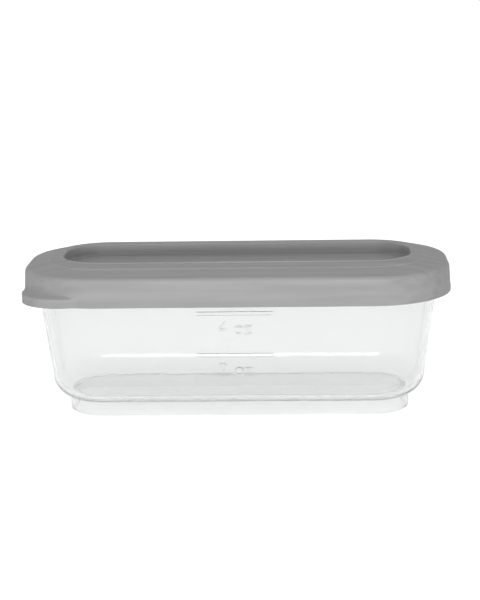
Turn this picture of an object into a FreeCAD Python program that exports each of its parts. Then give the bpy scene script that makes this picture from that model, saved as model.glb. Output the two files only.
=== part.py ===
# Baby food storage container: a clear tub on a foot ring, closed by a soft snap lid.
#
# Both pieces share one rounded outline, seen from above. It is a core rectangle pushed outwards by an
# offset, so an offset is also the corner radius there, and every wall is a section of offset and height
# that is swept round the outline. The foot and the recess in the lid have a narrower core of their own,
# and the foot of one container stands in the recess of the lid below it.
#
# Millimetres, +Z up. The origin is the middle of the foot, at the height of the table.
import FreeCAD, Part

import math
import os

import Sketcher
from FreeCAD import Vector

SIZES = {
    # Outline of the lid, along its lower edge
    "lid_length": 125.0,
    "lid_width": 57.0,
    "lid_corner": 23.5,
    # Foot ring, set in from the ends of the lid, and the gap round it in the recess of a lid below
    "foot_end_inset": 12.1,
    "foot_width": 28.0,
    "foot_corner": 11.4,
    "foot_height": 4.4,
    "foot_wall": 1.2,
    "foot_bevel": 0.4,
    "nest_gap": 0.5,
    # Tub
    "tub_height": 42.4,
    "tub_wall": 1.2,
    "floor_thickness": 1.4,
    "wall_lean": 5.0,
    "bowl_radius": 7.2,
    "rim_overhang": 1.3,
    "rim_thickness": 1.8,
    "rim_bevel": 0.5,
    "mouth_bevel": 0.35,
    # Fill marks: raised bars, ounces in front and millilitres behind
    "mark_length": 21.8,
    "mark_height": 1.0,
    "mark_proud": 0.35,
    "two_ounce_level": 20.4,
    "four_ounce_level": 33.0,
    "fifty_millilitre_level": 18.3,
    "hundred_millilitre_level": 29.2,
    # Skirt of the lid, with the thicker lip round its lower edge
    "rim_gap": 0.2,
    "skirt_depth": 6.75,
    "skirt_wall": 1.4,
    "skirt_lean": 0.36,
    "lip_height": 1.85,
    "lip_proud": 0.15,
    "lip_slope": 0.3,
    "shoulder_bevel": 1.0,
    # Top of the lid: a slope, a flatter band inside the knee, and the recess
    "lid_wall": 1.4,
    "slope_width": 7.0,
    "knee_rise": 1.45,
    "crest_rise": 0.9,
    "crest_land": 0.8,
    "recess_depth": 3.5,
    "recess_bevel": 0.5,
    "tray_wall": 1.4,
    # Plug that seals against the inside of the tub, and the ribs that snap under its rim
    "plug_depth": 4.0,
    "plug_wall": 1.2,
    "plug_gap": 0.2,
    "rib_gap": 0.12,
    "rib_height": 1.4,
    "front_rib_length": 60.0,
    "end_rib_length": 8.0,
    # Pull tab: the skirt flares out to a tighter corner, set in a little from the end and the side
    "tab_corner": 12.0,
    "tab_end_inset": 0.95,
    "tab_side_inset": 0.3,
    "tab_lip": 2.85,
    "tab_flare": 3.0,
    "tab_fade": 0.3,
    # How far a bar, a rib or the plug reaches into the wall that carries it
    "root": 0.15,
}

# Cores of the two outlines, as half lengths
CORE_X = "(Sizes.lid_length / 2 - Sizes.lid_corner)"
CORE_Y = "(Sizes.lid_width / 2 - Sizes.lid_corner)"
NEST_X = "(Sizes.lid_length / 2 - Sizes.foot_end_inset - Sizes.foot_corner)"
NEST_Y = "(Sizes.foot_width / 2 - Sizes.foot_corner)"

# Heights
RIM_TOP = "Sizes.tub_height"
RIM_FOOT = "(Sizes.tub_height - Sizes.rim_thickness)"
FLOOR_TOP = "(Sizes.foot_height + Sizes.floor_thickness)"
BOWL_TOP = "(Sizes.foot_height + Sizes.bowl_radius)"
SKIRT_FOOT = "(Sizes.tub_height - Sizes.skirt_depth)"
LIP_TOP = f"({SKIRT_FOOT} + Sizes.lip_height)"
SHOULDER_TOP = "(Sizes.tub_height + Sizes.lid_wall)"
KNEE_TOP = f"({SHOULDER_TOP} + Sizes.knee_rise)"
CREST_TOP = f"({KNEE_TOP} + Sizes.crest_rise)"
RECESS_FLOOR = f"({CREST_TOP} - Sizes.recess_depth)"
PLUG_FOOT = "(Sizes.tub_height - Sizes.plug_depth)"
TAB_TOP = f"({SKIRT_FOOT} + Sizes.tab_lip)"
FLARE_TOP = f"({TAB_TOP} + Sizes.tab_flare)"

# How far the tab's centre lies outside the corner of the lid's core, both ways and along the diagonal
TAB_X = "(Sizes.lid_corner - Sizes.tab_corner - Sizes.tab_end_inset)"
TAB_Y = "(Sizes.lid_corner - Sizes.tab_corner - Sizes.tab_side_inset)"
TAB_OUT = f"sqrt({TAB_X} ^ 2 + {TAB_Y} ^ 2)"


def skirt_face(height):
    """Offset of the skirt's outer face above its lip, at a height."""
    share = f"({height} - {LIP_TOP}) / ({SHOULDER_TOP} - {LIP_TOP})"
    return f"(Sizes.lid_corner - Sizes.lip_proud - Sizes.skirt_lean * {share})"


def skirt_inside(height):
    return f"({skirt_face(height)} - Sizes.skirt_wall)"


RIM_FACE = f"({skirt_inside(RIM_TOP)} - Sizes.rim_gap)"
WALL_TOP = f"({RIM_FACE} - Sizes.rim_overhang)"


def wall_face(height):
    """Offset of the tub's outer face at a height, below the rim and above the bowl's curve."""
    share = f"(Sizes.tub_height - {height}) / (Sizes.tub_height - Sizes.foot_height)"
    return f"({WALL_TOP} - Sizes.wall_lean * {share})"


def wall_inside(height):
    return f"({wall_face(height)} - Sizes.tub_wall)"


def plug_face(height):
    return f"({wall_inside(height)} - Sizes.plug_gap)"


def plug_inside(height):
    return f"({plug_face(height)} - Sizes.plug_wall)"


# Offsets where the flat floor and the flat middle of the lid begin
FLOOR_SEAM = f"({wall_face('Sizes.foot_height')} - Sizes.bowl_radius)"
KNEE = f"({skirt_face(SHOULDER_TOP)} - Sizes.slope_width)"
RECESS = "(Sizes.foot_corner + Sizes.nest_gap)"


def slope_under(offset):
    """Height of the lid's underside below the slope, at an offset."""
    share = f"({skirt_face(SHOULDER_TOP)} - {offset}) / Sizes.slope_width"
    return f"({SHOULDER_TOP} + Sizes.knee_rise * {share} - Sizes.lid_wall)"


def make_sheet(doc):
    sheet = doc.addObject("Spreadsheet::Sheet", "Sizes")
    for row, (name, value) in enumerate(SIZES.items(), start=1):
        sheet.set(f"A{row}", name)
        sheet.set(f"B{row}", str(value))
        sheet.setAlias(f"B{row}", name)
    doc.recompute()
    return sheet


def value_of(body, expression):
    return float(body.Document.getObject("Sizes").evalExpression(expression))


def origin_feature(body, role):
    return next(feature for feature in body.Origin.OriginFeatures if feature.Role == role)


def new_sketch(body, name, plane, lift=None):
    """A sketch on one of the body's own planes, raised by an expression where one is given."""
    sketch = body.newObject("Sketcher::SketchObject", name)
    sketch.AttachmentSupport = [(origin_feature(body, plane), "")]
    sketch.MapMode = "FlatFace"
    if lift:
        sketch.setExpression("AttachmentOffset.Base.z", lift)
    return sketch


def bind(sketch, kind, picks, expression, value):
    index = sketch.addConstraint(Sketcher.Constraint(kind, *picks, value))
    sketch.setExpression(f"Constraints[{index}]", expression)


def pin_point(sketch, body, geometry, position, across, up):
    """Hold a point at two expressions, measured from the sketch's origin."""
    origin = (-1, 1)
    point = (geometry, position)
    for kind, expression in (("DistanceX", across), ("DistanceY", up)):
        value = value_of(body, expression)
        if value < 0:
            bind(sketch, kind, point + origin, f"-({expression})", -value)
        else:
            bind(sketch, kind, origin + point, expression, value)


def outline(body, name, half_x, half_y, corner, height):
    """A rounded rectangle about the vertical axis, as a level sketch at a height."""
    sketch = new_sketch(body, name, "XY_Plane", height)
    x, y, radius = (value_of(body, item) for item in (half_x, half_y, corner))
    in_x, in_y = x - radius, y - radius
    quarter = math.pi / 2
    centres = ((in_x, in_y), (-in_x, in_y), (-in_x, -in_y), (in_x, -in_y))
    for turn, centre in enumerate(centres):
        circle = Part.Circle(Vector(*centre, 0), Vector(0, 0, 1), radius)
        sketch.addGeometry(Part.ArcOfCircle(circle, turn * quarter, (turn + 1) * quarter))
    sides = (
        ((in_x, y), (-in_x, y)),
        ((-x, in_y), (-x, -in_y)),
        ((-in_x, -y), (in_x, -y)),
        ((x, -in_y), (x, in_y)),
    )
    for start, end in sides:
        sketch.addGeometry(Part.LineSegment(Vector(*start, 0), Vector(*end, 0)))
    for turn in range(4):
        side = 4 + turn
        sketch.addConstraint(Sketcher.Constraint("Tangent", turn, 2, side, 1))
        sketch.addConstraint(Sketcher.Constraint("Tangent", side, 2, (turn + 1) % 4, 1))
    for turn in (1, 2, 3):
        sketch.addConstraint(Sketcher.Constraint("Equal", 0, turn))
    sketch.addConstraint(Sketcher.Constraint("Horizontal", 4))
    sketch.addConstraint(Sketcher.Constraint("Symmetric", 4, 1, 6, 1, -1, 1))
    bind(sketch, "DistanceX", (6, 1, 6, 2), f"2 * ({half_x} - {corner})", 2 * in_x)
    bind(sketch, "DistanceY", (7, 1, 7, 2), f"2 * ({half_y} - {corner})", 2 * in_y)
    bind(sketch, "Radius", (0,), corner, radius)
    return sketch


def core_outline(body, name, offset, height):
    """The lid's and the wall's outline at an offset from their core."""
    return outline(body, name, f"({CORE_X} + {offset})", f"({CORE_Y} + {offset})", offset, height)


def nest_outline(body, name, offset, height):
    """The foot's and the recess's outline at an offset from their core."""
    return outline(body, name, f"({NEST_X} + {offset})", f"({NEST_Y} + {offset})", offset, height)


def rounded_end(before, corner, after, radius):
    """Where an arc of a radius leaves two straight lines that meet at a corner."""
    back = (before - corner).normalize()
    ahead = (after - corner).normalize()
    half_angle = back.getAngle(ahead) / 2
    reach = radius / math.tan(half_angle)
    bisector = (back + ahead).normalize()
    centre = corner + bisector * (radius / math.sin(half_angle))
    return corner + back * reach, corner + ahead * reach, centre


def section(body, name, points, plane="YZ_Plane"):
    """A closed section. Each point is (across, up) or (across, up, radius), as expressions."""
    sketch = new_sketch(body, name, plane)
    count = len(points)
    corners = [Vector(value_of(body, p[0]), value_of(body, p[1]), 0) for p in points]
    radii = [value_of(body, p[2]) if len(p) > 2 else 0 for p in points]
    starts, ends, centres = [], [], []
    for i in range(count):
        if radii[i]:
            end, start, centre = rounded_end(corners[i - 1], corners[i], corners[(i + 1) % count], radii[i])
        else:
            end = start = centre = corners[i]
        ends.append(end)
        starts.append(start)
        centres.append(centre)
    for i in range(count):
        sketch.addGeometry(Part.LineSegment(starts[i], ends[(i + 1) % count]))
    for i, point in enumerate(points):
        before = (i - 1) % count
        if not radii[i]:
            sketch.addConstraint(Sketcher.Constraint("Coincident", before, 2, i, 1))
            pin_point(sketch, body, i, 1, point[0], point[1])
            continue
        mark = sketch.addGeometry(Part.Point(corners[i]), True)
        pin_point(sketch, body, mark, 1, point[0], point[1])
        sketch.addConstraint(Sketcher.Constraint("PointOnObject", mark, 1, before))
        sketch.addConstraint(Sketcher.Constraint("PointOnObject", mark, 1, i))
        from_angle = math.atan2(ends[i].y - centres[i].y, ends[i].x - centres[i].x)
        to_angle = math.atan2(starts[i].y - centres[i].y, starts[i].x - centres[i].x)
        turn = (to_angle - from_angle + math.pi) % (2 * math.pi) - math.pi
        anticlockwise = turn > 0
        if not anticlockwise:
            from_angle, to_angle = to_angle, from_angle
        circle = Part.Circle(centres[i], Vector(0, 0, 1), radii[i])
        arc = sketch.addGeometry(Part.ArcOfCircle(circle, from_angle, to_angle))
        first, last = (1, 2) if anticlockwise else (2, 1)
        sketch.addConstraint(Sketcher.Constraint("Tangent", before, 2, arc, first))
        sketch.addConstraint(Sketcher.Constraint("Tangent", arc, last, i, 1))
        bind(sketch, "Radius", (arc,), point[2], radii[i])
    return sketch


def wall_section(body, name, points):
    """A section of the back wall, given as (offset, height) or (offset, height, radius)."""
    return section(body, name, [(f"({CORE_Y} + {p[0]})",) + tuple(p[1:]) for p in points])


def sweep(body, kind, name, profile, path):
    feature = body.newObject(f"PartDesign::{kind}Pipe", name)
    feature.Profile = (profile, [""])
    feature.Spine = (path, [""])
    return feature


def loft(body, kind, name, sketches):
    feature = body.newObject(f"PartDesign::{kind}Loft", name)
    feature.Profile = (sketches[0], [""])
    feature.Sections = [(sketch, [""]) for sketch in sketches[1:]]
    feature.Ruled = True
    return feature


def pad(body, name, sketch, length):
    feature = body.newObject("PartDesign::Pad", name)
    feature.Profile = (sketch, [""])
    feature.setExpression("Length", length)
    return feature


def pocket(body, name, sketch, length, upwards=False):
    """A pocket that cuts down from its sketch, or upwards from it."""
    feature = body.newObject("PartDesign::Pocket", name)
    feature.Profile = (sketch, [""])
    feature.setExpression("Length", length)
    feature.Reversed = upwards
    return feature


def bar(body, name, profile, length):
    """A section drawn out to both sides of its own plane."""
    feature = pad(body, name, profile, length)
    feature.SideType = "Symmetric"
    return feature


def mirror(body, name, features, plane):
    feature = body.newObject("PartDesign::Mirrored", name)
    feature.Originals = features
    feature.MirrorPlane = (origin_feature(body, plane), [""])
    body.Tip = feature
    return feature


def bevel_loop(body, name, base, height, size, half_x):
    """Bevel the level loop of edges at a height that reaches out to half_x."""
    body.Document.recompute()
    level = value_of(body, height)
    reach = value_of(body, half_x)
    near = 1e-4
    flat = [
        (f"Edge{number}", edge)
        for number, edge in enumerate(base.Shape.Edges, start=1)
        if abs(edge.BoundBox.ZMin - level) < near and abs(edge.BoundBox.ZMax - level) < near
    ]
    wires = Part.sortEdges([edge for _, edge in flat])
    loop = next(w for w in wires if abs(Part.Wire(w).BoundBox.XMax - reach) < near)
    picked = [name for name, edge in flat if any(edge.isSame(other) for other in loop)]
    feature = body.newObject("PartDesign::Chamfer", name)
    feature.Base = (base, picked)
    feature.setExpression("Size", size)
    return feature


def make_tub(doc):
    """The clear tub: a bowl with leaning walls and a beaded rim, on a hollow foot ring."""
    body = doc.addObject("PartDesign::Body", "container_tub")
    path = core_outline(body, "tub_path", "Sizes.lid_corner", "0")
    inner_radius = "(Sizes.bowl_radius - Sizes.tub_wall)"

    foot = nest_outline(body, "foot_outline", "Sizes.foot_corner", "0")
    pad(body, "foot_block", foot, BOWL_TOP)

    outside = wall_section(body, "outer_section", [
        (FLOOR_SEAM, "Sizes.foot_height"),
        (wall_face("Sizes.foot_height"), "Sizes.foot_height", "Sizes.bowl_radius"),
        (wall_face(RIM_FOOT), RIM_FOOT),
        (RIM_FACE, RIM_FOOT),
        (RIM_FACE, "(Sizes.tub_height - Sizes.rim_bevel)"),
        (f"({RIM_FACE} - Sizes.rim_bevel)", RIM_TOP),
        (FLOOR_SEAM, RIM_TOP),
    ])
    sweep(body, "Additive", "outer_wall", outside, path)
    middle = core_outline(body, "middle_outline", FLOOR_SEAM, "Sizes.foot_height")
    pad(body, "middle_block", middle, "(Sizes.tub_height - Sizes.foot_height)")

    inside = wall_section(body, "inner_section", [
        (FLOOR_SEAM, FLOOR_TOP),
        (wall_inside(FLOOR_TOP), FLOOR_TOP, inner_radius),
        (wall_inside(RIM_TOP), RIM_TOP),
        (FLOOR_SEAM, RIM_TOP),
    ])
    sweep(body, "Subtractive", "inner_wall", inside, path)
    mouth = core_outline(body, "mouth_outline", FLOOR_SEAM, RIM_TOP)
    pocket(body, "mouth", mouth, f"(Sizes.tub_height - {FLOOR_TOP})")

    hollow_offset = "(Sizes.foot_corner - Sizes.foot_wall)"
    hollow = nest_outline(body, "foot_hollow_outline", hollow_offset, "0")
    cut = pocket(body, "foot_hollow", hollow, "Sizes.foot_height", upwards=True)
    foot_end = f"({NEST_X} + Sizes.foot_corner)"
    tip = bevel_loop(body, "foot_edge", cut, "0", "Sizes.foot_bevel", foot_end)
    mouth_end = f"({CORE_X} + {wall_inside(RIM_TOP)})"
    bevel_loop(body, "mouth_edge", tip, RIM_TOP, "Sizes.mouth_bevel", mouth_end)

    marks = (
        ("two_ounce", "Sizes.two_ounce_level", -1),
        ("four_ounce", "Sizes.four_ounce_level", -1),
        ("fifty_millilitre", "Sizes.fifty_millilitre_level", 1),
        ("hundred_millilitre", "Sizes.hundred_millilitre_level", 1),
    )
    for name, level, side in marks:
        low = f"({level} - Sizes.mark_height / 2)"
        high = f"({level} + Sizes.mark_height / 2)"
        corners = [
            (f"({wall_face(low)} - Sizes.root)", low),
            (f"({wall_face(low)} + Sizes.mark_proud)", low),
            (f"({wall_face(high)} + Sizes.mark_proud)", high),
            (f"({wall_face(high)} - Sizes.root)", high),
        ]
        profile = section(body, f"{name}_section", [(f"{side} * ({CORE_Y} + {o})", z) for o, z in corners])
        bar(body, f"{name}_mark", profile, "Sizes.mark_length")
    return body


def about_tab(body, shape, name, base, height, **radii):
    """A cylinder or cone about the tab's own axis, added to the body or cut from it."""
    feature = body.newObject(f"PartDesign::{shape}", name)
    feature.AttachmentSupport = [(origin_feature(body, "XY_Plane"), "")]
    feature.MapMode = "FlatFace"
    place = {"x": f"{CORE_X} + {TAB_X}", "y": f"{CORE_Y} + {TAB_Y}", "z": base}
    for direction, expression in place.items():
        feature.setExpression(f"AttachmentOffset.Base.{direction}", expression)
    feature.setExpression("Height", height)
    for radius, expression in radii.items():
        feature.setExpression(radius, expression)


def make_lid(doc):
    """The soft lid, made with its tab at the +X +Y corner and set on the tub turned half round."""
    body = doc.addObject("PartDesign::Body", "snap_lid")
    path = core_outline(body, "lid_path", "Sizes.lid_corner", "0")
    skirt_height = f"({KNEE_TOP} - {SKIRT_FOOT})"
    bevel = "Sizes.shoulder_bevel"
    bevel_foot = f"({SHOULDER_TOP} - {bevel})"
    bevel_share = f"{bevel} / Sizes.slope_width"

    cap = wall_section(body, "cap_section", [
        (KNEE, SKIRT_FOOT),
        ("Sizes.lid_corner", SKIRT_FOOT),
        ("Sizes.lid_corner", f"({LIP_TOP} - Sizes.lip_slope)"),
        (skirt_face(LIP_TOP), LIP_TOP),
        (skirt_face(bevel_foot), bevel_foot),
        (f"({skirt_face(SHOULDER_TOP)} - {bevel})", f"({SHOULDER_TOP} + Sizes.knee_rise * {bevel_share})"),
        (KNEE, KNEE_TOP),
    ])
    sweep(body, "Additive", "cap", cap, path)
    middle = core_outline(body, "cap_middle_outline", KNEE, SKIRT_FOOT)
    pad(body, "cap_middle", middle, skirt_height)
    crest = "(Sizes.foot_corner + Sizes.nest_gap + Sizes.crest_land)"
    loft(body, "Additive", "band", [
        core_outline(body, "knee_outline", KNEE, KNEE_TOP),
        nest_outline(body, "crest_outline", crest, CREST_TOP),
    ])

    # The tab is hollow below, where a finger goes, and opens into the channel round the rim
    fade = f"({skirt_face(FLARE_TOP)} - Sizes.tab_fade - {TAB_OUT})"
    about_tab(body, "AdditiveCylinder", "tab", SKIRT_FOOT, "Sizes.tab_lip", Radius="Sizes.tab_corner")
    about_tab(body, "AdditiveCone", "flare", TAB_TOP, "Sizes.tab_flare",
              Radius1="Sizes.tab_corner", Radius2=fade)
    inner_corner = "(Sizes.tab_corner - Sizes.skirt_wall)"
    inner_lip = "(Sizes.tab_lip - Sizes.skirt_wall / 2)"
    about_tab(body, "SubtractiveCylinder", "tab_hollow", SKIRT_FOOT, inner_lip, Radius=inner_corner)
    about_tab(body, "SubtractiveCone", "flare_hollow", f"({SKIRT_FOOT} + {inner_lip})", "Sizes.tab_flare",
              Radius1=inner_corner, Radius2=f"({fade} - Sizes.skirt_wall)")

    plug_top = slope_under(plug_inside(RIM_TOP))
    knee_under = slope_under(KNEE)
    under = wall_section(body, "under_section", [
        (KNEE, SKIRT_FOOT),
        (skirt_inside(SKIRT_FOOT), SKIRT_FOOT),
        (skirt_inside(RIM_TOP), RIM_TOP),
        (plug_inside(RIM_TOP), RIM_TOP),
        (plug_inside(RIM_TOP), plug_top),
        (KNEE, knee_under),
    ])
    sweep(body, "Subtractive", "rim_channel", under, path)
    below = core_outline(body, "underside_outline", KNEE, SKIRT_FOOT)
    pocket(body, "underside", below, f"({knee_under} - {SKIRT_FOOT})", upwards=True)
    plug_root = f"({RIM_TOP} + Sizes.root)"
    plug = wall_section(body, "plug_section", [
        (plug_inside(PLUG_FOOT), PLUG_FOOT),
        (plug_face(PLUG_FOOT), PLUG_FOOT),
        (plug_face(plug_root), plug_root),
        (plug_inside(plug_root), plug_root),
    ])
    sweep(body, "Additive", "plug", plug, path)
    tray = "(Sizes.foot_corner + Sizes.nest_gap + Sizes.tray_wall)"
    crest_under = f"({CREST_TOP} - Sizes.lid_wall)"
    loft(body, "Subtractive", "band_underside", [
        core_outline(body, "knee_under_outline", KNEE, knee_under),
        nest_outline(body, "crest_under_outline", tray, crest_under),
    ])
    tray_foot = f"({RECESS_FLOOR} - Sizes.tray_wall)"
    tray_plan = nest_outline(body, "tray_outline", tray, tray_foot)
    pad(body, "tray", tray_plan, f"({crest_under} + Sizes.root - {tray_foot})")
    recess = nest_outline(body, "recess_outline", RECESS, CREST_TOP)
    tip = pocket(body, "recess", recess, "Sizes.recess_depth")
    recess_end = f"({NEST_X} + {RECESS})"
    bevel_loop(body, "recess_edge", tip, CREST_TOP, "Sizes.recess_bevel", recess_end)

    rib_top = f"({RIM_FOOT} - Sizes.rib_gap)"
    rib_foot = f"({rib_top} - Sizes.rib_height)"
    rib_face = f"({RIM_FACE} + Sizes.rib_gap)"
    third = "Sizes.rib_height / 3"
    ribs = (
        ("front", "YZ_Plane", CORE_Y, "Sizes.front_rib_length", "XZ_Plane"),
        ("end", "XZ_Plane", CORE_X, "Sizes.end_rib_length", "YZ_Plane"),
    )
    for name, plane, core, length, across in ribs:
        corners = (
            (f"({skirt_inside(rib_foot)} + Sizes.root)", rib_foot),
            (f"({skirt_inside(rib_top)} + Sizes.root)", rib_top),
            (rib_face, f"({rib_top} - {third})"),
            (rib_face, f"({rib_foot} + {third})"),
        )
        profile = section(body, f"{name}_rib_section", [(f"({core} + {o})", z) for o, z in corners], plane)
        rib = bar(body, f"{name}_rib", profile, length)
        mirror(body, f"{name}_ribs", [rib], across)
    body.Placement = FreeCAD.Placement(Vector(0, 0, 0), FreeCAD.Rotation(Vector(0, 0, 1), 180))
    return body


def check(doc, bodies):
    doc.recompute()
    for item in doc.Objects:
        if "Invalid" in item.State or "Error" in item.State:
            raise RuntimeError(f"{item.Name} could not be made")
    for body in bodies:
        if body.Shape.isNull() or not body.Shape.isValid() or len(body.Shape.Solids) != 1:
            raise RuntimeError(f"{body.Label} isn't one sound solid")


def main():
    doc = FreeCAD.newDocument("baby_food_container")
    make_sheet(doc)
    bodies = [make_tub(doc), make_lid(doc)]
    check(doc, bodies)
    os.makedirs("parts", exist_ok=True)
    for body in bodies:
        body.Shape.exportStep(f"parts/{body.Label}.step")
        print(body.Label, f"{body.Shape.Volume / 1000:.2f} ml of plastic")


main()
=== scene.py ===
"""A baby food storage container: a clear tub with raised fill marks, closed by a soft grey snap lid.

Each of the two pieces is one section of wall, swept round a rounded rectangle by Geometry Nodes. A point of
the section is (offset, narrowing, height): how far it lies outside the core rectangle of the outline, how
much narrower that core is there, and how high it is. The foot and the recess have the narrower core.
"""

import math
from collections import namedtuple

import bmesh
import bpy
from mathutils import Matrix, Quaternion, Vector


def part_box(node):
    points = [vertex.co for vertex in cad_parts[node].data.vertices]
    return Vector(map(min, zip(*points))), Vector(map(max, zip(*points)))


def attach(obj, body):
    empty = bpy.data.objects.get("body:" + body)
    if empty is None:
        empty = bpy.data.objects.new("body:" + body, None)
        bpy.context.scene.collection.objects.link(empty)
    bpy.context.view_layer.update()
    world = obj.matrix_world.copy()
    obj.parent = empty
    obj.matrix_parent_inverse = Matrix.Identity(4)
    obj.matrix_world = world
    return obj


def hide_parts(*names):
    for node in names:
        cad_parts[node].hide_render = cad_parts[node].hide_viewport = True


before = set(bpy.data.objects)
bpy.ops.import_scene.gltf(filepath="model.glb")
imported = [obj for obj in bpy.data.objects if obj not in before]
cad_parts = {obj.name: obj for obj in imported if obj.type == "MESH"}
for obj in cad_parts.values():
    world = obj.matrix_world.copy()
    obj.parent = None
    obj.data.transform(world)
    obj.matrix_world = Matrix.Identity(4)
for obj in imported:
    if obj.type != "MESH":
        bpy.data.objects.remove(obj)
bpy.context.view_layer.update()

bl_info = {
    "name": "Baby Food Container",
    "version": (1, 0, 0),
    "blender": (4, 5, 0),
    "location": "3D View > Sidebar > Container",
    "description": "Makes a clear food tub with fill marks, its soft snap lid, and a studio stage",
    "category": "Object",
}

MM = 0.001

# The highest corner of the lid's box, which is as far out as the outline goes
LID_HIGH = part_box("snap_lid")[1]

# How finely the walls are drawn: nearest points that count as two, step of an arc, and crispest round edge
MERGE = 0.002 * MM
ARC_STEP = math.radians(9)
SHARP = math.radians(25)

# The corner that has the pull tab, counted from the one at +X +Y, and how softly the tab leaves the skirt
TAB_QUARTER = 2.0
TAB_BLEND = 1.6 * MM

# The tab's flare: its steps, how slim its top is beside its foot, and the height of its lower edge
FLARE_STEPS = 8
FLARE_TOP_SHARE = 0.6
FLARE_EDGE = 0.3 * MM

# Small edges on the lid: rounding of the bead and the knee, and height of the slope over the lip
FINE_ROUND = 0.2 * MM
LIP_SLOPE = 0.3 * MM

# Where the bowl's curve leaves the lid's core for the foot, and the steps between the two
CURVE_END = 0.5 * MM
JOINT_STEPS = 5

# How deep marks and ribs reach into the wall that carries them
MARK_ROOT = 0.2 * MM
RIB_ROOT = 0.2 * MM

# Spacing of the lid's flow streaks across it, and the scale that draws them out along it
STREAK_SPACING = 2.5 * MM
STREAK_SCALE = (0.06, 1.0, 1.0)

# Height of the tub's waves and of the lid's grain
WAVE_HEIGHT = 0.03 * MM
GRAIN_HEIGHT = 0.05 * MM

# The photograph's viewpoint: where the lens looks, from how far and from which way
LOOK_AT = Vector((0.623, 0.0, 31.474)) * MM
CAMERA_DISTANCE = 500.2 * MM
CAMERA_AZIMUTH = math.radians(2.437)
CAMERA_ELEVATION = math.radians(12.553)
CAMERA_ROLL = math.radians(-1.045)
PHOTO_HEIGHT = 600
FOCAL_PIXELS = 1682.5
SENSOR = 36.0

# The stage, in metres: half the floor's side, and the place and size of each light
FLOOR_HALF = 1.5
WINDOW_PLACE, WINDOW_SIZE = (0.03, -0.82, 0.35), (0.85, 0.22)
FILL_PLACE, FILL_SIZE = (0.0, -0.9, 0.075), (0.5, 0.14)

# Sines of the angles at which the room's walls end and its ceiling begins
WALL_TOP = 0.35
CEILING = 0.75

WHITE = (1.0, 1.0, 1.0, 1.0)

# A corner of a wall's section. tab is the radius of the pull tab at its height, and bowl is 1 where its
# height follows the curve of the bowl.
Corner = namedtuple("Corner", "offset height radius narrow tab bowl", defaults=(0.0, 0.0, 0.0, 0.0))


def length(name, description, millimetres):
    """A size that is written in millimetres and kept in metres."""
    return bpy.props.FloatProperty(
        name=name, description=description, default=millimetres * MM, min=0.0, precision=4, unit="LENGTH"
    )


def share(name, description, default):
    """A setting from none, 0, to all, 1."""
    return bpy.props.FloatProperty(
        name=name, description=description, default=default, min=0.0, max=1.0, subtype="FACTOR"
    )


def linear(hex_colour):
    """The linear RGBA of an sRGB colour written as six hex digits."""
    channels = [int(hex_colour[i : i + 2], 16) / 255 for i in (0, 2, 4)]
    curve = [c / 12.92 if c <= 0.04045 else ((c + 0.055) / 1.055) ** 2.4 for c in channels]
    return (*curve, 1.0)


def colour(name, description, hex_colour):
    """A colour setting, from six sRGB hex digits."""
    return bpy.props.FloatVectorProperty(
        name=name,
        description=description,
        default=linear(hex_colour),
        size=4,
        min=0.0,
        max=1.0,
        subtype="COLOR",
    )


class OutlineSizes(bpy.types.PropertyGroup):
    """What the tub and the lid share."""

    lid_corner: length("Lid corner", "Corner radius of the lid along its lower edge", 23.5)
    foot_width: length("Foot width", "Width of the foot ring", 28.0)
    foot_corner: length("Foot corner", "Corner radius of the foot ring", 11.4)
    nest_gap: length("Nest gap", "Play of a foot in the recess of the lid below it", 0.5)
    tub_height: length("Tub height", "Height of the rim above the table", 42.4)
    corner_steps: bpy.props.IntProperty(
        name="Corner steps", description="Steps in each rounded corner", default=40, min=8, max=96
    )


class TubSizes(bpy.types.PropertyGroup):
    """The clear tub."""

    foot_height: length("Foot height", "Height of the foot ring", 4.4)
    foot_wall: length("Foot wall", "Thickness of the foot ring", 1.2)
    wall: length("Wall", "Thickness of the tub's wall", 1.2)
    floor: length("Floor", "Thickness of the tub's floor", 1.4)
    lean: length("Lean", "How far the wall leans in on its way down", 5.0)
    bowl_radius: length("Bowl radius", "Radius between the wall and the floor, outside", 7.2)
    rim_overhang: length("Rim overhang", "How far the bead of the rim stands out", 1.3)
    rim_thickness: length("Rim thickness", "Height of the bead of the rim", 1.8)
    edge_round: length("Edge rounding", "Radius of the rim's and the foot's edges", 0.45)


class MarkSizes(bpy.types.PropertyGroup):
    """The raised fill marks and their figures."""

    bar_length: length("Bar length", "Length of a fill mark", 21.8)
    bar_height: length("Bar height", "Height of a fill mark", 1.0)
    proud: length("Proud", "How far marks and figures stand out of the wall", 0.45)
    edge_round: length("Edge rounding", "Radius of the edges of marks and figures", 0.2)
    two_ounces: length("Two ounces", "Level of the 2 oz mark", 20.4)
    four_ounces: length("Four ounces", "Level of the 4 oz mark", 33.0)
    fifty_millilitres: length("50 ml", "Level of the 50 ml mark", 18.3)
    hundred_millilitres: length("100 ml", "Level of the 100 ml mark", 29.2)
    figure_drop: length("Figure drop", "From a mark down to the foot of its figures", 6.3)
    figure_size: length("Figure size", "Size of the type", 5.6)


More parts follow.
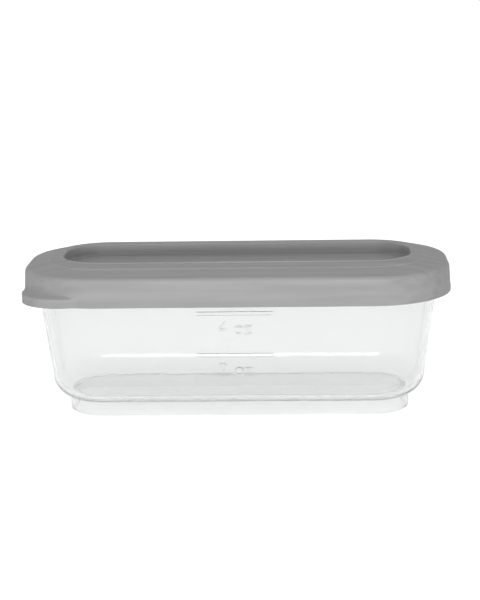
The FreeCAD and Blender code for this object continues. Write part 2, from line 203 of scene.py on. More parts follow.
class LidSizes(bpy.types.PropertyGroup):
    """The soft lid."""

    skirt_depth: length("Skirt depth", "From the rim down to the lid's lower edge", 6.75)
    skirt_wall: length("Skirt wall", "Thickness of the skirt", 1.4)
    skirt_lean: length("Skirt lean", "How far the skirt leans in on its way up", 0.36)
    rim_gap: length("Rim gap", "Play between the skirt and the rim", 0.2)
    lip_height: length("Lip height", "Height of the thicker lower edge", 1.85)
    lip_proud: length("Lip proud", "How far the lip stands out of the skirt", 0.15)
    wall: length("Wall", "Thickness of the top", 1.4)
    shoulder_round: length("Shoulder rounding", "Radius between the skirt and the slope", 1.6)
    slope_width: length("Slope width", "From the shoulder in to the knee", 7.0)
    knee_rise: length("Knee rise", "From the shoulder up to the knee", 1.45)
    knee_step: length("Knee step", "Height of the small step at the knee", 0.3)
    bead_width: length("Bead width", "Width of the bead round the recess", 0.8)
    bead_rise: length("Bead rise", "How far the bead stands above the band outside it", 0.25)
    recess_depth: length("Recess depth", "Depth of the recess on top", 3.5)
    recess_round: length("Recess rounding", "Radius of the recess's edges", 0.5)
    tray_wall: length("Tray wall", "Thickness of the recess's floor and sides", 1.4)
    plug_depth: length("Plug depth", "How deep the plug reaches into the tub", 4.0)
    plug_wall: length("Plug wall", "Thickness of the plug", 1.2)
    plug_gap: length("Plug gap", "Play between the plug and the tub", 0.2)
    tab_corner: length("Tab corner", "Corner radius of the pull tab", 12.0)
    tab_end_inset: length("Tab end inset", "From the lid's end in to the tab", 0.95)
    tab_side_inset: length("Tab side inset", "From the lid's side in to the tab", 0.3)
    tab_lip: length("Tab lip", "Height of the tab's upright edge", 2.85)
    tab_flare: length("Tab flare", "Height over which the tab runs back into the skirt", 3.0)
    rib_gap: length("Rib gap", "Play between a snap rib and the rim of the tub", 0.12)
    rib_height: length("Rib height", "Height of a snap rib inside the skirt", 1.4)
    side_rib: length("Side rib", "Length of the snap ribs along the sides", 60.0)
    end_rib: length("End rib", "Length of the snap ribs at the ends", 8.0)


class Finishes(bpy.types.PropertyGroup):
    """Colours and surfaces."""

    lid_colour: colour("Lid", "Colour of the soft lid", "a0a0a0")
    lid_streak: colour("Lid streaks", "Colour of the faint flow streaks in the lid", "989898")
    lid_grain: length("Lid grain", "Spacing of the lid's matte grain, drawn coarser than life", 0.5)
    tub_colour: colour("Tub", "Tint of the clear tub", "fafbfb")
    haze: share("Haze", "How milky the clear plastic is", 0.1)
    tub_wave: length("Tub waves", "Spacing of the soft waves in the tub's skin", 5.0)


class StageSettings(bpy.types.PropertyGroup):
    """Floor, backdrop and lights."""

    floor_colour: colour("Floor", "Colour of the floor", "dcdcdc")
    window_power: bpy.props.FloatProperty(
        name="Window", description="Power of the soft window that draws highlights", default=5.3, unit="POWER"
    )
    fill_power: bpy.props.FloatProperty(
        name="Fill light", description="Power of the low fill light in front", default=5.2, unit="POWER"
    )
    walls_light: share("Walls' light", "How much light the room's walls give the object", 0.35)
    ceiling_light: share("Ceiling's light", "How much light the room's ceiling gives the object", 0.68)
    ceiling: share("Ceiling", "Brightness of the room's ceiling where the tub shows or mirrors it", 0.45)
    floor_white: share("Floor white", "How far the lens sees the floor burnt out", 0.75)
    floor_through: share("Floor through", "How far the floor is burnt out through the tub", 0.68)


GROUPS = (OutlineSizes, TubSizes, MarkSizes, LidSizes, Finishes, StageSettings)

MATHS = "ShaderNodeMath"
VECTOR = "ShaderNodeVectorMath"
COMBINE = "ShaderNodeCombineXYZ"


def add_node(tree, kind, *values, **settings):
    """Add a node with its settings, set or link the inputs it uses in order, and return its first output.

    A value of None leaves an input alone, and a list links several sockets to one input.
    """
    node = tree.nodes.new(kind)
    for name, value in settings.items():
        setattr(node, name, value)
    for socket, value in zip([socket for socket in node.inputs if socket.enabled], values):
        for item in value if isinstance(value, list) else [value]:
            if isinstance(item, bpy.types.NodeSocket):
                tree.links.new(item, socket)
            elif item is not None:
                socket.default_value = item
    return next((socket for socket in node.outputs if socket.enabled), None)


def new_tree(name, sockets):
    """An empty tree for a modifier with its named inputs, and those inputs as sockets to link from."""
    tree = bpy.data.node_groups.new(name, "GeometryNodeTree")
    for socket, kind in sockets.items():
        tree.interface.new_socket(socket, in_out="INPUT", socket_type=f"NodeSocket{kind}")
    tree.interface.new_socket("Piece", in_out="OUTPUT", socket_type="NodeSocketGeometry")
    return tree, tree.nodes.new("NodeGroupInput").outputs


def finish_tree(tree, shape, material):
    """End a tree with real geometry in its material."""
    real = add_node(tree, "GeometryNodeRealizeInstances", shape)
    finished = add_node(tree, "GeometryNodeSetMaterial", real, None, material)
    add_node(tree, "NodeGroupOutput", finished)
    return tree


def draw_out(tree, flat, depth):
    """Draw a flat face out along its normal and close it behind."""
    raised = add_node(tree, "GeometryNodeExtrudeMesh", flat, None, None, depth, False)
    behind = add_node(tree, "GeometryNodeFlipFaces", flat)
    both = add_node(tree, "GeometryNodeJoinGeometry", [raised, behind])
    return add_node(tree, "GeometryNodeMergeByDistance", both, None, MERGE)


def sweep_tree():
    """The tree that sweeps a section round the outline's four corners."""
    tree, given = new_tree("Sweep round the outline", {
        "Section": "Geometry",
        "Core Length": "Float",
        "Core Width": "Float",
        "Bowl Seam": "Float",
        "Bowl Radius": "Float",
        "Bowl Centre": "Float",
        "Tab Centre": "Vector",
        "Tab Blend": "Float",
        "Corner Steps": "Int",
        "Material": "Material",
    })
    steps, radius, tab_centre = given["Corner Steps"], given["Bowl Radius"], given["Tab Centre"]

    # A grid with one row for each point of the section, and a column for each step round the outline. Its
    # last column comes back to the first.
    rows = add_node(tree, "GeometryNodeAttributeDomainSize", given["Section"], component="MESH")
    in_corner = add_node(tree, MATHS, steps, 1, operation="ADD")
    columns = add_node(tree, MATHS, in_corner, 4, 1, operation="MULTIPLY_ADD")
    grid = add_node(tree, "GeometryNodeMeshGrid", None, None, columns, rows)
    index = add_node(tree, "GeometryNodeInputIndex")
    row = add_node(tree, MATHS, index, rows, operation="FLOORED_MODULO")
    column = add_node(tree, MATHS, index, rows, operation="DIVIDE")
    column = add_node(tree, MATHS, column, operation="FLOOR")

    # Which corner a column belongs to, and which way it looks
    quarter = add_node(tree, MATHS, column, in_corner, operation="DIVIDE")
    quarter = add_node(tree, MATHS, quarter, operation="FLOOR")
    step = add_node(tree, MATHS, column, in_corner, operation="FLOORED_MODULO")
    part = add_node(tree, MATHS, step, steps, operation="DIVIDE")
    turns = add_node(tree, MATHS, quarter, part, operation="ADD")
    angle = add_node(tree, MATHS, turns, math.pi / 2, operation="MULTIPLY")
    cosine = add_node(tree, MATHS, angle, operation="COSINE")
    sine = add_node(tree, MATHS, angle, operation="SINE")
    outward = add_node(tree, COMBINE, cosine, sine)
    middle = add_node(tree, MATHS, quarter, math.pi / 2, math.pi / 4, operation="MULTIPLY_ADD")
    cosine = add_node(tree, MATHS, middle, operation="COSINE")
    sine = add_node(tree, MATHS, middle, operation="SINE")
    diagonal = add_node(tree, COMBINE, cosine, sine)
    side = add_node(tree, VECTOR, diagonal, operation="SIGN")
    at_tab = add_node(tree, MATHS, quarter, TAB_QUARTER, 0.1, operation="COMPARE")

    # The section's point for each row, and its tab and bowl values
    here = add_node(tree, "GeometryNodeInputPosition")
    tab_named = add_node(tree, "GeometryNodeInputNamedAttribute", "tab", data_type="FLOAT")
    bowl_named = add_node(tree, "GeometryNodeInputNamedAttribute", "bowl", data_type="FLOAT")
    sample = "GeometryNodeSampleIndex"
    point = add_node(tree, sample, given["Section"], here, row, data_type="FLOAT_VECTOR")
    tab = add_node(tree, sample, given["Section"], tab_named, row, data_type="FLOAT")
    on_bowl = add_node(tree, sample, given["Section"], bowl_named, row, data_type="FLOAT")
    offset, narrowing, level = add_node(tree, "ShaderNodeSeparateXYZ", point).node.outputs

    # The pull tab is a tighter circle about a centre further out. At the tab's corner a point lies on the one
    # of the two curves that is outside there, with a soft change from one to the other.
    along = add_node(tree, VECTOR, outward, tab_centre, operation="DOT_PRODUCT")
    apart = add_node(tree, VECTOR, tab_centre, tab_centre, operation="DOT_PRODUCT")
    squares = add_node(tree, MATHS, tab, tab, operation="MULTIPLY")
    squares = add_node(tree, MATHS, along, along, squares, operation="MULTIPLY_ADD")
    squares = add_node(tree, MATHS, squares, apart, operation="SUBTRACT")
    squares = add_node(tree, MATHS, squares, 0.0, operation="MAXIMUM")
    chord = add_node(tree, MATHS, squares, 0.5, operation="POWER")
    has_tab = add_node(tree, MATHS, tab, at_tab, operation="MULTIPLY")
    has_tab = add_node(tree, MATHS, has_tab, operation="SIGN")
    tab_reach = add_node(tree, MATHS, along, chord, operation="ADD")
    tab_reach = add_node(tree, MATHS, tab_reach, has_tab, operation="MULTIPLY")
    blend = add_node(tree, MATHS, given["Tab Blend"], has_tab, operation="MULTIPLY")
    reach = add_node(tree, MATHS, offset, tab_reach, blend, operation="SMOOTH_MAX")
    half_width = add_node(tree, MATHS, given["Core Width"], narrowing, operation="SUBTRACT")
    core = add_node(tree, COMBINE, given["Core Length"], half_width)
    core = add_node(tree, VECTOR, core, side, operation="MULTIPLY")
    spread = add_node(tree, VECTOR, outward, reach, operation="SCALE")
    flat = add_node(tree, VECTOR, core, spread, operation="ADD")

    # On the bowl a point's height comes from its distance to the lid's core
    lid_core = add_node(tree, COMBINE, given["Core Length"], given["Core Width"])
    beyond = add_node(tree, VECTOR, flat, operation="ABSOLUTE")
    beyond = add_node(tree, VECTOR, beyond, lid_core, operation="SUBTRACT")
    beyond = add_node(tree, VECTOR, beyond, (0.0, 0.0, 0.0), operation="MAXIMUM")
    run = add_node(tree, VECTOR, beyond, operation="LENGTH")
    run = add_node(tree, MATHS, run, given["Bowl Seam"], operation="SUBTRACT")
    run = add_node(tree, MATHS, run, 0.0, operation="MAXIMUM")
    run_squared = add_node(tree, MATHS, run, run, operation="MULTIPLY")
    fall = add_node(tree, MATHS, radius, radius, operation="MULTIPLY")
    fall = add_node(tree, MATHS, fall, run_squared, operation="SUBTRACT")
    fall = add_node(tree, MATHS, fall, 0.0, operation="MAXIMUM")
    fall = add_node(tree, MATHS, fall, 0.5, operation="POWER")
    bowl_level = add_node(tree, MATHS, given["Bowl Centre"], fall, operation="SUBTRACT")
    change = add_node(tree, MATHS, bowl_level, level, operation="SUBTRACT")
    height = add_node(tree, MATHS, change, on_bowl, level, operation="MULTIPLY_ADD")
    rise = add_node(tree, COMBINE, 0.0, 0.0, height)
    place = add_node(tree, VECTOR, flat, rise, operation="ADD")

    # The grid's faces would look inwards, so they are turned before it is shaped and closed
    outside = add_node(tree, "GeometryNodeFlipFaces", grid)
    shaped = add_node(tree, "GeometryNodeSetPosition", outside, None, place)
    closed = add_node(tree, "GeometryNodeMergeByDistance", shaped, None, MERGE)
    smooth = add_node(tree, "GeometryNodeSetShadeSmooth", closed)
    return finish_tree(tree, smooth, given["Material"])


def spot(corner):
    """A corner as a point of the section."""
    return Vector((corner.offset, corner.narrow, corner.height))


def section_rows(corners):
    """The points of a section, with its corners rounded, each as (point, tab, bowl)."""
    rows = []
    for i, corner in enumerate(corners):
        here = spot(corner)
        if not corner.radius:
            rows.append((here, corner.tab, corner.bowl))
            continue
        back = (spot(corners[i - 1]) - here).normalized()
        ahead = (spot(corners[i + 1]) - here).normalized()
        half = back.angle(ahead) / 2
        reach = corner.radius / math.tan(half)
        centre = here + (back + ahead).normalized() * (corner.radius / math.sin(half))
        first = here + back * reach - centre
        last = here + ahead * reach - centre
        axis, swing = first.cross(last), first.angle(last)
        steps = max(3, math.ceil(swing / ARC_STEP))
        for k in range(steps + 1):
            arm = Quaternion(axis, swing * k / steps) @ first
            rows.append((centre + arm, corner.tab, corner.bowl))
    return rows


def set_in_scene(name, data):
    """Put a mesh, a light or a camera into the scene as an object."""
    item = bpy.data.objects.new(name, data)
    bpy.context.scene.collection.objects.link(item)
    return item


def section_object(name, rows):
    """A section as a string of vertices, which the tree reads in order."""
    mesh = bpy.data.meshes.new(name)
    mesh.from_pydata([row[0] for row in rows], [(i, i + 1) for i in range(len(rows) - 1)], [])
    for column, attribute in ((1, "tab"), (2, "bowl")):
        values = mesh.attributes.new(attribute, "FLOAT", "POINT")
        values.data.foreach_set("value", [row[column] for row in rows])
    return set_in_scene(name, mesh)


def mark_tree():
    """The tree that makes a fill mark: a bar with figures below it, raised off the plane z = 0."""
    tree, given = new_tree("Raised fill mark", {
        "Section": "Geometry",
        "Figures": "String",
        "Bar Length": "Float",
        "Bar Height": "Float",
        "Figure Size": "Float",
        "Figure Drop": "Float",
        "Depth": "Float",
        "Material": "Material",
    })
    bar = add_node(tree, "GeometryNodeCurvePrimitiveQuadrilateral", given["Bar Length"], given["Bar Height"])
    lettering = add_node(
        tree,
        "GeometryNodeStringToCurves",
        given["Figures"],
        given["Figure Size"],
        align_x="CENTER",
        align_y="BOTTOM_BASELINE",
    )
    drop = add_node(tree, MATHS, given["Figure Drop"], -1.0, operation="MULTIPLY")
    down = add_node(tree, COMBINE, 0.0, drop)
    lowered = add_node(tree, "GeometryNodeTransform", lettering, down)
    curves = add_node(tree, "GeometryNodeJoinGeometry", [bar, lowered])
    loose = add_node(tree, "GeometryNodeRealizeInstances", curves)
    flat = add_node(tree, "GeometryNodeFillCurve", loose)
    return finish_tree(tree, draw_out(tree, flat, given["Depth"]), given["Material"])


def rib_tree():
    """The tree that draws a rib's flat section out to its length, with a second rib opposite."""
    tree, given = new_tree("Pair of snap ribs", {
        "Section": "Geometry",
        "Length": "Float",
        "Material": "Material",
    })
    half = add_node(tree, MATHS, given["Length"], -0.5, operation="MULTIPLY")
    start = add_node(tree, "GeometryNodeTransform", given["Section"], add_node(tree, COMBINE, half))
    rib = draw_out(tree, start, given["Length"])
    opposite = add_node(tree, "GeometryNodeTransform", rib, None, (0.0, 0.0, math.pi))
    pair = add_node(tree, "GeometryNodeJoinGeometry", [rib, opposite])
    return finish_tree(tree, pair, given["Material"])


def apply_modifiers(piece):
    """Turn a piece and its modifiers into one plain mesh."""
    ready = piece.evaluated_get(bpy.context.evaluated_depsgraph_get())
    mesh = bpy.data.meshes.new_from_object(ready)
    piece.modifiers.clear()
    piece.data = mesh


def grow(piece, tree, values):
    """Run a tree on a piece with its inputs set, and leave the plain result."""
    modifier = piece.modifiers.new("Grow", "NODES")
    modifier.node_group = tree
    for item in tree.interface.items_tree:
        if item.in_out == "INPUT" and item.name in values:
            modifier[item.identifier] = values[item.name]
    apply_modifiers(piece)
    return piece


def settle_normals(piece):
    """Let flat and straight stretches keep their own normals, and keep the crisp edges crisp."""
    piece.data.set_sharp_from_angle(angle=SHARP)
    weighted = piece.modifiers.new("Weighted normals", "WEIGHTED_NORMAL")
    weighted.keep_sharp = True
    weighted.weight = 100
    apply_modifiers(piece)


def remove(piece):
    """Take a piece that only helped out of the file, with its mesh."""
    mesh = piece.data
    bpy.data.objects.remove(piece)
    bpy.data.meshes.remove(mesh)


def raise_marks(tub, walls, marks, material):
    """Raise the four fill marks on the tub's leaning walls: ounces in front, millilitres behind."""
    tree = mark_tree()
    rows = (
        ("2 oz", marks.two_ounces, -1),
        ("4 oz", marks.four_ounces, -1),
        ("50 ml", marks.fifty_millilitres, 1),
        ("100 ml", marks.hundred_millilitres, 1),
    )
    together = bmesh.new()
    for figures, level, side in rows:
        mark = section_object("mark", [(Vector(), 0.0, 0.0)])
        grow(mark, tree, {
            "Figures": figures,
            "Bar Length": marks.bar_length,
            "Bar Height": marks.bar_height,
            "Figure Size": marks.figure_size,
            "Figure Drop": marks.figure_drop,
            "Depth": marks.proud + MARK_ROOT,
            "Material": material,
        })
        right = Vector((-side, 0.0, 0.0))
        up = Vector((0.0, side * math.sin(walls.slope), math.cos(walls.slope)))
        out = right.cross(up)
        place = Vector((0.0, side * (walls.core_width + walls.wall_face(level)), level))
        turn = Matrix((right, up, out)).transposed().to_4x4()
        mark.data.transform(Matrix.Translation(place - out * MARK_ROOT) @ turn)
        together.from_mesh(mark.data)
        remove(mark)
    mesh = bpy.data.meshes.new("marks")
    together.to_mesh(mesh)
    together.free()
    mesh.materials.append(material)
    raised = set_in_scene("marks", mesh)
    soften = raised.modifiers.new("Soft edges", "BEVEL")
    soften.width = marks.edge_round
    soften.segments = 2
    soften.limit_method = "ANGLE"
    apply_modifiers(raised)
    union = tub.modifiers.new("Marks", "BOOLEAN")
    union.operation = "UNION"
    union.solver = "EXACT"
    union.use_self = True
    union.object = raised
    before = len(tub.data.vertices)
    apply_modifiers(tub)
    remove(raised)
    # A union that goes wrong leaves little more than the marks
    if len(tub.data.vertices) < before:
        raise RuntimeError("the fill marks could not be joined to the tub")


class Walls:
    """Where the walls of both pieces stand, worked out from the sizes."""

    def __init__(self, scene):
        self.outline = scene.container_outline
        self.tub = scene.container_tub
        self.lid = scene.container_lid
        outline, tub, lid = self.outline, self.tub, self.lid
        self.core_length = LID_HIGH.x - outline.lid_corner
        self.core_width = LID_HIGH.y - outline.lid_corner
        self.narrow = self.core_width - (outline.foot_width / 2 - outline.foot_corner)
        self.rim_top = outline.tub_height
        self.rim_foot = self.rim_top - tub.rim_thickness
        self.skirt_foot = self.rim_top - lid.skirt_depth
        self.lip_top = self.skirt_foot + lid.lip_height
        self.shoulder = self.rim_top + lid.wall
        self.rim_face = self.skirt_inside(self.rim_top) - lid.rim_gap
        self.slope = math.atan(tub.lean / (self.rim_top - tub.foot_height))
        self.bowl_top = tub.foot_height + tub.bowl_radius
        half_corner = (math.pi / 2 + self.slope) / 2
        self.bowl_seam = self.wall_face(tub.foot_height) - tub.bowl_radius / math.tan(half_corner)

    def skirt_face(self, height):
        """Offset of the skirt's outer face above its lip."""
        lid = self.lid
        up = (height - self.lip_top) / (self.shoulder - self.lip_top)
        return self.outline.lid_corner - lid.lip_proud - lid.skirt_lean * up

    def skirt_inside(self, height):
        return self.skirt_face(height) - self.lid.skirt_wall

    def wall_face(self, height):
        """Offset of the tub's outer face between its rim and the bowl's curve."""
        tub = self.tub
        down = (self.rim_top - height) / (self.rim_top - tub.foot_height)
        return self.rim_face - tub.rim_overhang - tub.lean * down

    def wall_inside(self, height):
        return self.wall_face(height) - self.tub.wall

    def sweep_sizes(self, material):
        """What the sweep's tree is given for either piece."""
        tab_out = self.outline.lid_corner - self.lid.tab_corner
        return {
            "Core Length": self.core_length,
            "Core Width": self.core_width,
            "Tab Centre": (self.lid.tab_end_inset - tab_out, self.lid.tab_side_inset - tab_out, 0.0),
            "Tab Blend": TAB_BLEND,
            "Bowl Seam": self.bowl_seam,
            "Bowl Radius": self.tub.bowl_radius,
            "Bowl Centre": self.bowl_top,
            "Corner Steps": self.outline.corner_steps,
            "Material": material,
        }


def tub_rows(walls):
    """The tub's section, from the middle of its floor over the rim and down to the foot.

    The rim is fully rounded, and the edges that nobody touches are crisper.
    """
    tub, outline = walls.tub, walls.outline
    floor_top = tub.foot_height + tub.floor
    inner_radius = tub.bowl_radius - tub.wall
    edge = tub.edge_round
    foot, narrow = outline.foot_corner, walls.narrow
    upper = section_rows([
        Corner(0.0, floor_top, narrow=walls.core_width),
        Corner(0.0, floor_top),
        Corner(walls.wall_inside(floor_top), floor_top, inner_radius),
        Corner(walls.wall_inside(walls.rim_top), walls.rim_top, edge),
        Corner(walls.rim_face, walls.rim_top, edge),
        Corner(walls.rim_face, walls.rim_foot, edge),
        Corner(walls.wall_face(walls.rim_foot), walls.rim_foot, edge / 2),
        Corner(walls.wall_face(walls.bowl_top), walls.bowl_top),
    ])
    # Down the bowl's curve to where the foot leaves it, on both cores
    start = math.pi / 2 - walls.slope
    end = math.asin((foot - walls.bowl_seam + CURVE_END) / tub.bowl_radius)
    steps = math.ceil((start - end) / ARC_STEP * 2)
    curve = []
    for k in range(steps + 1):
        angle = start + (end - start) * k / steps
        offset = walls.bowl_seam + tub.bowl_radius * math.sin(angle)
        height = walls.bowl_top - tub.bowl_radius * math.cos(angle)
        curve.append((Vector((offset, 0.0, height)), 0.0, 1.0))
    last = curve[-1][0]
    joint = Vector((foot, narrow, last.z))
    for k in range(1, JOINT_STEPS + 1):
        curve.append((last.lerp(joint, k / JOINT_STEPS), 0.0, 1.0))
    hollow = foot - tub.foot_wall
    lower = section_rows([
        Corner(foot, tub.foot_height, narrow=narrow),
        Corner(foot, 0.0, edge, narrow),
        Corner(hollow, 0.0, edge / 3, narrow),
        Corner(hollow, tub.foot_height, edge, narrow),
        Corner(0.0, tub.foot_height, narrow=narrow),
        Corner(0.0, tub.foot_height, narrow=walls.core_width),
    ])
    return upper[:-1] + curve + lower[1:]


def flare(walls, face, wall):
    """The tab's flare, from the skirt down in a hollow curve to the tab's upright edge, a wall further in."""
    lid = walls.lid
    widest = lid.tab_corner - wall
    slimmest = lid.tab_corner * FLARE_TOP_SHARE - wall
    foot = walls.skirt_foot + lid.tab_lip - wall / 2
    corners = []
    for k in range(FLARE_STEPS, 0, -1):
        rise = (k / FLARE_STEPS) ** 2
        height = foot + lid.tab_flare * rise
        radius = widest + (slimmest - widest) * math.sqrt(rise)
        corners.append(Corner(face(height), height, tab=radius))
    return corners + [Corner(face(foot - FLARE_EDGE), foot - FLARE_EDGE, tab=widest)]


def lid_rows(walls):
    """The lid's section, from the middle of its recess over the skirt and in again below.

    The recess is rounder along its floor than along its upper edge.
    """
    lid, outline, narrow = walls.lid, walls.outline, walls.narrow
    face, inside, shoulder = walls.skirt_face, walls.skirt_inside, walls.shoulder
    top = LID_HIGH.z
    floor = top - lid.recess_depth
    soft = lid.recess_round
    recess = outline.foot_corner + outline.nest_gap
    bead = recess + lid.bead_width
    band = top - lid.bead_rise
    knee = face(shoulder) - lid.slope_width
    knee_top = shoulder + lid.knee_rise
    lip, tab = outline.lid_corner, lid.tab_corner
    over = [
        Corner(0.0, floor, narrow=walls.core_width),
        Corner(0.0, floor, narrow=narrow),
        Corner(recess, floor, 1.6 * soft, narrow),
        Corner(recess, top, 0.8 * soft, narrow),
        Corner(bead, top, FINE_ROUND, narrow),
        Corner(bead + FINE_ROUND, band, FINE_ROUND / 2, narrow),
        Corner(knee - FINE_ROUND, knee_top + lid.knee_step, FINE_ROUND),
        Corner(knee + FINE_ROUND, knee_top, FINE_ROUND),
        Corner(face(shoulder), shoulder, lid.shoulder_round),
    ]
    edge = [
        Corner(face(walls.lip_top), walls.lip_top, tab=tab),
        Corner(lip, walls.lip_top - LIP_SLOPE, tab=tab),
        Corner(lip, walls.skirt_foot, soft / 2, tab=tab),
        Corner(inside(walls.skirt_foot), walls.skirt_foot, soft / 2, tab=tab - lid.skirt_wall),
    ]
    plug_foot = walls.rim_top - lid.plug_depth
    plug = walls.wall_inside(walls.rim_top) - lid.plug_gap
    plug_low = walls.wall_inside(plug_foot) - lid.plug_gap
    slope_rise = lid.knee_rise / lid.slope_width
    plug_root = shoulder - lid.wall + slope_rise * (face(shoulder) - plug + lid.plug_wall)
    tray = recess + lid.tray_wall
    under = [
        Corner(inside(walls.rim_top), walls.rim_top, soft / 2),
        Corner(plug, walls.rim_top, soft / 2),
        Corner(plug_low, plug_foot, soft / 2),
        Corner(plug_low - lid.plug_wall, plug_foot, soft / 2),
        Corner(plug - lid.plug_wall, plug_root, soft),
        Corner(knee, knee_top - lid.wall),
        Corner(tray, top - lid.wall, narrow=narrow),
        Corner(tray, floor - lid.tray_wall, soft, narrow),
        Corner(0.0, floor - lid.tray_wall, narrow=narrow),
        Corner(0.0, floor - lid.tray_wall, narrow=walls.core_width),
    ]
    outside = flare(walls, face, 0.0)
    hollow = flare(walls, inside, lid.skirt_wall)
    return section_rows(over + outside + edge + hollow[::-1] + under)


def new_material(name):
    """A material with its node tree and the inputs of its shader."""
    material = bpy.data.materials.new(name)
    material.use_nodes = True
    tree = material.node_tree
    return material, tree, tree.nodes["Principled BSDF"].inputs


def tub_plastic(finishes):
    """Clarified polypropylene, injection moulded in a polished tool.

    The eye sees clear walls with a slight milky haze. Their skin is glossy, with soft waves where the melt
    has shrunk, which bend the edges seen through it a little.
    """
    material, tree, surface = new_material("clear_moulded_polypropylene")
    place = add_node(tree, "ShaderNodeTexCoord").node.outputs["Object"]
    surface["Base Color"].default_value = finishes.tub_colour
    surface["IOR"].default_value = 1.49
    surface["Transmission Weight"].default_value = 1.0 - finishes.haze
    waves = add_node(tree, "ShaderNodeTexNoise", place, 1 / finishes.tub_wave, 1.0)
    dull = add_node(tree, "ShaderNodeMapRange", waves, 0.3, 0.7, 0.03, 0.07)
    tree.links.new(dull, surface["Roughness"])
    skin = add_node(tree, "ShaderNodeBump", 0.5, WAVE_HEIGHT, None, waves)
    tree.links.new(skin, surface["Normal"])
    return material


def lid_plastic(finishes):
    """Soft thermoplastic elastomer, moulded in a spark-eroded tool.

    The eye sees an even grey with broad, dull highlights from its fine matte grain, and very faint streaks
    along the lid where the melt has flowed. The real grain is about 0.1 mm apart, too fine to show here.
    """
    material, tree, surface = new_material("soft_moulded_elastomer")
    place = add_node(tree, "ShaderNodeTexCoord").node.outputs["Object"]
    grain = add_node(tree, "ShaderNodeTexNoise", place, 1 / finishes.lid_grain, 2.0)
    skin = add_node(tree, "ShaderNodeBump", 0.35, GRAIN_HEIGHT, None, grain)
    tree.links.new(skin, surface["Normal"])
    along = add_node(tree, "ShaderNodeMapping", place, None, None, STREAK_SCALE)
    streaks = add_node(tree, "ShaderNodeTexNoise", along, 1 / STREAK_SPACING, 3.0)
    streaked = add_node(tree, "ShaderNodeMapRange", streaks, 0.35, 0.65)
    shade = add_node(
        tree,
        "ShaderNodeMix",
        streaked,
        tuple(finishes.lid_colour),
        tuple(finishes.lid_streak),
        data_type="RGBA",
    )
    tree.links.new(shade, surface["Base Color"])
    dull = add_node(tree, "ShaderNodeMapRange", streaks, 0.3, 0.7, 0.54, 0.62)
    tree.links.new(dull, surface["Roughness"])
    surface["IOR"].default_value = 1.5
    surface["Specular IOR Level"].default_value = 0.35
    surface["Sheen Weight"].default_value = 0.08
    surface["Sheen Roughness"].default_value = 0.5
    return material


def add_snap_ribs(piece, walls, material):
    """Set the four ribs inside the skirt that snap under the rim of the tub."""
    lid = walls.lid
    top = walls.rim_foot - lid.rib_gap
    foot = top - lid.rib_height
    crest = walls.rim_face + lid.rib_gap
    section = (
        (walls.skirt_inside(foot) + RIB_ROOT, foot),
        (walls.skirt_inside(top) + RIB_ROOT, top),
        (crest, top - lid.rib_height / 3),
        (crest, foot + lid.rib_height / 3),
    )
    tree = rib_tree()
    together = bmesh.new()
    together.from_mesh(piece.data)
    for core, run, turn in (
        (walls.core_width, lid.side_rib, 0.0),
        (walls.core_length, lid.end_rib, math.pi / 2),
    ):
        mesh = bpy.data.meshes.new("rib")
        mesh.from_pydata([(0.0, core + offset, height) for offset, height in section], [], [(0, 1, 2, 3)])
        ribs = set_in_scene("rib", mesh)
        grow(ribs, tree, {"Length": run, "Material": material})
        ribs.data.transform(Matrix.Rotation(turn, 4, "Z"))
        together.from_mesh(ribs.data)
        remove(ribs)
    together.to_mesh(piece.data)
    together.free()


class CONTAINER_OT_make_tub(bpy.types.Operator):
    """Make the clear tub with its foot, rim and fill marks"""

    bl_idname = "container.make_tub"
    bl_label = "Make the tub"

    def execute(self, context):
        walls = Walls(context.scene)
        material = tub_plastic(context.scene.container_finishes)
        section = section_object("clear_tub", tub_rows(walls))
        tub = grow(section, sweep_tree(), walls.sweep_sizes(material))
        raise_marks(tub, walls, context.scene.container_marks, material)
        settle_normals(tub)
        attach(tub, "container")
        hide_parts("container_tub")
        return {"FINISHED"}


class CONTAINER_OT_make_lid(bpy.types.Operator):
    """Make the soft lid with its recess, skirt, pull tab, plug and snap ribs"""

    bl_idname = "container.make_lid"
    bl_label = "Make the lid"

    def execute(self, context):
        walls = Walls(context.scene)
        material = lid_plastic(context.scene.container_finishes)
        section = section_object("soft_lid", lid_rows(walls))
        lid = grow(section, sweep_tree(), walls.sweep_sizes(material))
        add_snap_ribs(lid, walls, material)
        settle_normals(lid)
        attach(lid, "lid")
        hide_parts("snap_lid")
        return {"FINISHED"}


def add_camera(scene):
    """Set the camera at the photograph's viewpoint, with its lens."""
    turn, rise, roll = CAMERA_AZIMUTH, CAMERA_ELEVATION, CAMERA_ROLL
    back = Vector((math.sin(turn) * math.cos(rise), -math.cos(turn) * math.cos(rise), math.sin(rise)))
    right = Vector((math.cos(turn), math.sin(turn), 0.0))
    up = back.cross(right)
    rolled_right = right * math.cos(roll) + up * math.sin(roll)
    rolled_up = up * math.cos(roll) - right * math.sin(roll)
    data = bpy.data.cameras.new("photo_camera")
    data.sensor_width = SENSOR
    data.lens = FOCAL_PIXELS * SENSOR / PHOTO_HEIGHT
    data.clip_start = 10 * MM
    camera = set_in_scene("photo_camera", data)
    axes = Matrix((rolled_right, rolled_up, back)).transposed().to_4x4()
    camera.matrix_world = Matrix.Translation(LOOK_AT + back * CAMERA_DISTANCE) @ axes
    scene.camera = camera


def add_softbox(name, place, size, power):
    """A wide soft light that looks at the object from a place in front of it."""
    data = bpy.data.lights.new(name, "AREA")
    data.shape = "RECTANGLE"
    data.size, data.size_y = size
    data.energy = power
    light = set_in_scene(name, data)
    place = Vector(place)
    aim = (place - LOOK_AT).to_track_quat("Z", "Y").to_matrix().to_4x4()
    light.matrix_world = Matrix.Translation(place) @ aim
    light.visible_camera = False
    return light


def stage_rays(tree):
    """How far a ray goes straight to the lens, and how far through the tub or off a gloss."""
    path = add_node(tree, "ShaderNodeLightPath").node.outputs
    through = add_node(tree, MATHS, path["Is Glossy Ray"], path["Is Transmission Ray"], operation="MAXIMUM")
    return path["Is Camera Ray"], through


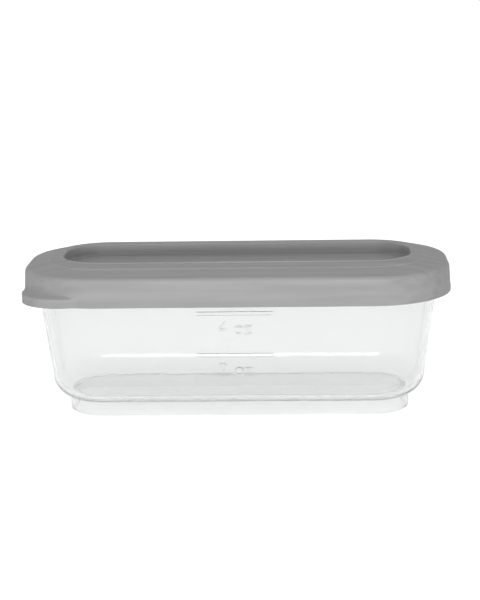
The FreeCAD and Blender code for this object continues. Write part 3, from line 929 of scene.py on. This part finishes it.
def add_room(scene, settings):
    """A white room with a dimmer ceiling, which lights the object at a plain level and looks white."""
    world = bpy.data.worlds.new("white_room")
    world.use_nodes = True
    tree = world.node_tree
    tree.nodes.clear()
    straight, through = stage_rays(tree)
    # In a world the first of these coordinates is the way that a ray goes
    direction = add_node(tree, "ShaderNodeTexCoord")
    height = add_node(tree, "ShaderNodeSeparateXYZ", direction).node.outputs["Z"]
    rise = add_node(tree, "ShaderNodeMapRange", height, WALL_TOP, CEILING)
    walls, ceiling = settings.walls_light, settings.ceiling_light
    lit = add_node(tree, "ShaderNodeMix", rise, walls, ceiling, data_type="FLOAT")
    shown = add_node(tree, "ShaderNodeMix", rise, 1.0, settings.ceiling, data_type="FLOAT")
    strength = add_node(tree, "ShaderNodeMix", through, lit, shown, data_type="FLOAT")
    strength = add_node(tree, "ShaderNodeMix", straight, strength, 1.0, data_type="FLOAT")
    room = add_node(tree, "ShaderNodeBackground", WHITE, strength)
    add_node(tree, "ShaderNodeOutputWorld", room)
    scene.world = world


def add_floor(settings):
    """A pale floor that keeps the object's soft shadow and looks white to the lens."""
    half = FLOOR_HALF
    corners = [(-half, -half, 0), (half, -half, 0), (half, half, 0), (-half, half, 0)]
    mesh = bpy.data.meshes.new("floor")
    mesh.from_pydata(corners, [], [(0, 1, 2, 3)])
    material, tree, surface = new_material("matte_white_board")
    surface["Base Color"].default_value = settings.floor_colour
    surface["Roughness"].default_value = 0.9
    surface["Emission Color"].default_value = WHITE
    straight, through = stage_rays(tree)
    lift = add_node(tree, MATHS, through, settings.floor_through, operation="MULTIPLY")
    lift = add_node(tree, "ShaderNodeMix", straight, lift, settings.floor_white, data_type="FLOAT")
    tree.links.new(lift, surface["Emission Strength"])
    mesh.materials.append(material)
    set_in_scene("floor", mesh)


class CONTAINER_OT_set_stage(bpy.types.Operator):
    """Set the floor, the white room, the lights and the camera"""

    bl_idname = "container.set_stage"
    bl_label = "Set the stage"

    def execute(self, context):
        scene = context.scene
        settings = scene.container_stage
        add_camera(scene)
        add_room(scene, settings)
        add_floor(settings)
        window = add_softbox("window", WINDOW_PLACE, WINDOW_SIZE, settings.window_power)
        fill = add_softbox("low_fill", FILL_PLACE, FILL_SIZE, settings.fill_power)
        # The window draws the highlights on the plastic and the fill lights it, each without the other's part
        window.visible_diffuse = False
        fill.visible_glossy = False
        fill.visible_transmission = False
        scene.view_settings.view_transform = "Standard"
        return {"FINISHED"}


class CONTAINER_PT_panel(bpy.types.Panel):
    """Makes each part of the container"""

    bl_label = "Baby food container"
    bl_space_type = "VIEW_3D"
    bl_region_type = "UI"
    bl_category = "Container"

    def draw(self, context):
        layout = self.layout
        for operator in OPERATORS:
            layout.operator(operator.bl_idname)
        for group in GROUPS:
            holder = getattr(context.scene, PROPERTY_NAMES[group])
            box = layout.box()
            for name in group.__annotations__:
                box.prop(holder, name)


OPERATORS = (CONTAINER_OT_make_tub, CONTAINER_OT_make_lid, CONTAINER_OT_set_stage)
PROPERTY_NAMES = {
    OutlineSizes: "container_outline",
    TubSizes: "container_tub",
    MarkSizes: "container_marks",
    LidSizes: "container_lid",
    Finishes: "container_finishes",
    StageSettings: "container_stage",
}


def register():
    for kind in GROUPS + OPERATORS + (CONTAINER_PT_panel,):
        bpy.utils.register_class(kind)
    for group, name in PROPERTY_NAMES.items():
        setattr(bpy.types.Scene, name, bpy.props.PointerProperty(type=group))


def unregister():
    for name in PROPERTY_NAMES.values():
        delattr(bpy.types.Scene, name)
    for kind in reversed(GROUPS + OPERATORS + (CONTAINER_PT_panel,)):
        bpy.utils.unregister_class(kind)


def main():
    register()
    bpy.ops.container.make_tub()
    bpy.ops.container.make_lid()
    bpy.ops.container.set_stage()


if __name__ == "__main__":
    main()
